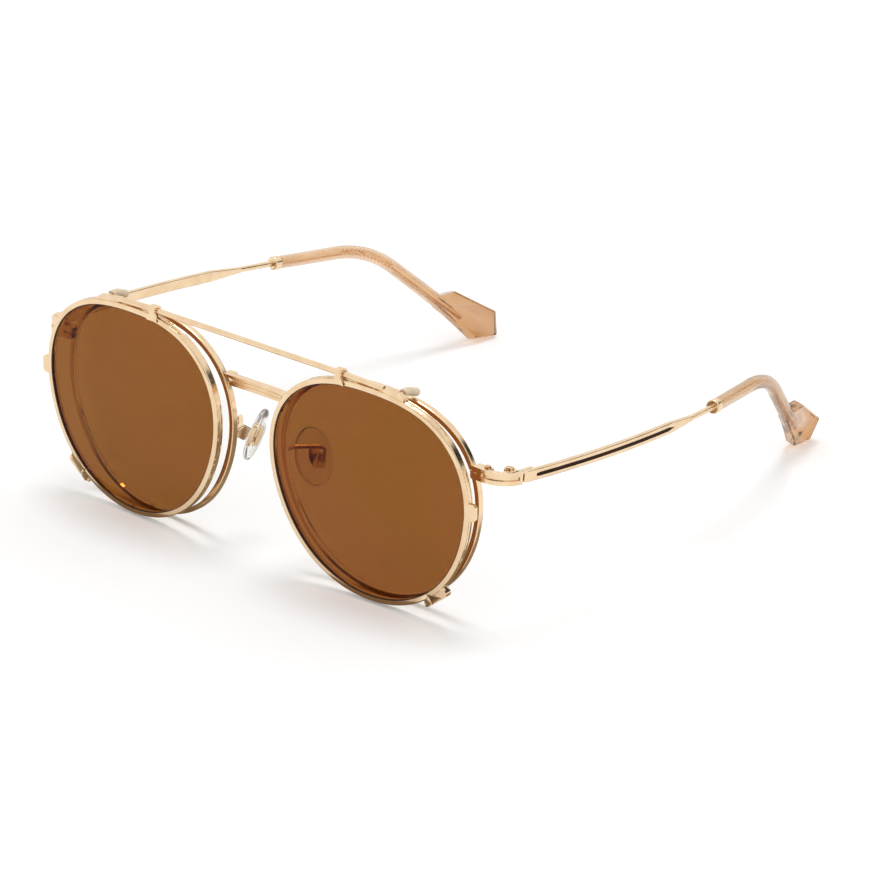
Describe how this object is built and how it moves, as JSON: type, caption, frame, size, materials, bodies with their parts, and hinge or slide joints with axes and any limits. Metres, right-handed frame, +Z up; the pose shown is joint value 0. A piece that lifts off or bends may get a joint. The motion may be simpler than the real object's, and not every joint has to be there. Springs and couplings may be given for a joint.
{
  "type": "spectacles with clip-on sunglasses",
  "caption": "Round metal optical frame with folding temples, nose pads and a clip-on front with brown sun lenses under a straight brow bar.",
  "frame": {"origin": "middle of the bounding box, at the level the rims and temple tips stand on", "axes": "+X to the wearer's left, -Y the way the wearer looks, +Z up"},
  "size_m": [0.1318, 0.1474, 0.0515],
  "materials": {
    "gold": "polished champagne plating",
    "steel": "bright",
    "sun_lens": "brown tint",
    "clear_lens": "clear",
    "silicone": "translucent",
    "acetate": "translucent peach",
    "inlay": "gloss"
  },
  "bodies": {
    "front": {"bridge": "gold", "endpiece_left": "gold", "endpiece_right": "gold", "eyewire_left": "gold", "eyewire_right": "gold", "front_hinge_leaf_left": "gold", "front_hinge_leaf_right": "gold", "hinge_screw_left": "steel", "hinge_screw_right": "steel", "optical_lens_left": "clear_lens", "optical_lens_right": "clear_lens", "pad_arm_left": "gold", "pad_arm_right": "gold", "pad_box_left": "gold", "pad_box_right": "gold", "pad_screw_left": "steel", "pad_screw_right": "steel", "rim_screw_left": "steel", "rim_screw_right": "steel"},
    "temple_left": {"core_wire_left": "steel", "temple_bar_left": "gold", "temple_ferrule_left": "gold", "temple_hinge_leaf_left": "gold", "temple_inlay_left": "inlay", "temple_tip_left": "acetate"},
    "temple_right": {"core_wire_right": "steel", "temple_bar_right": "gold", "temple_ferrule_right": "gold", "temple_hinge_leaf_right": "gold", "temple_inlay_right": "inlay", "temple_tip_right": "acetate"},
    "nose_pad_left": {"nose_pad_left": "silicone", "pad_stem_left": "steel"},
    "nose_pad_right": {"nose_pad_right": "silicone", "pad_stem_right": "steel"},
    "clip": {"brow_bar": "gold", "brow_post_left": "gold", "brow_post_right": "gold", "clip_lens_left": "sun_lens", "clip_lens_right": "sun_lens", "clip_rim_left": "gold", "clip_rim_right": "gold", "clip_rim_screw_left": "steel", "clip_rim_screw_right": "steel", "hook_sleeve_left": "silicone", "hook_sleeve_right": "silicone", "side_tab_left": "gold", "side_tab_right": "gold", "top_hook_left": "gold", "top_hook_right": "gold"}
  },
  "joints": [
    {"name": "temple_left_fold", "type": "hinge", "parent": "front", "child": "temple_left", "pos_m": [0.0616, -0.06124, 0.03481], "axis": [0, 0.0663, 0.9978], "range_deg": [0, 82]},
    {"name": "temple_right_fold", "type": "hinge", "parent": "front", "child": "temple_right", "pos_m": [-0.0616, -0.06124, 0.03481], "axis": [0, -0.0663, -0.9978], "range_deg": [0, 70]},
    {"name": "nose_pad_left_rock", "type": "hinge", "parent": "front", "child": "nose_pad_left", "pos_m": [0.0108, -0.05964, 0.02296], "axis": [0.4914, 0.8343, -0.25], "range_deg": [-8, 8]},
    {"name": "nose_pad_right_rock", "type": "hinge", "parent": "front", "child": "nose_pad_right", "pos_m": [-0.0108, -0.05964, 0.02296], "axis": [-0.4914, 0.8343, -0.25], "range_deg": [-8, 8]},
    {"name": "clip_lift_off", "type": "slide", "parent": "front", "child": "clip", "axis": [0, -1, 0], "range_m": [0, 0.06]}
  ]
}
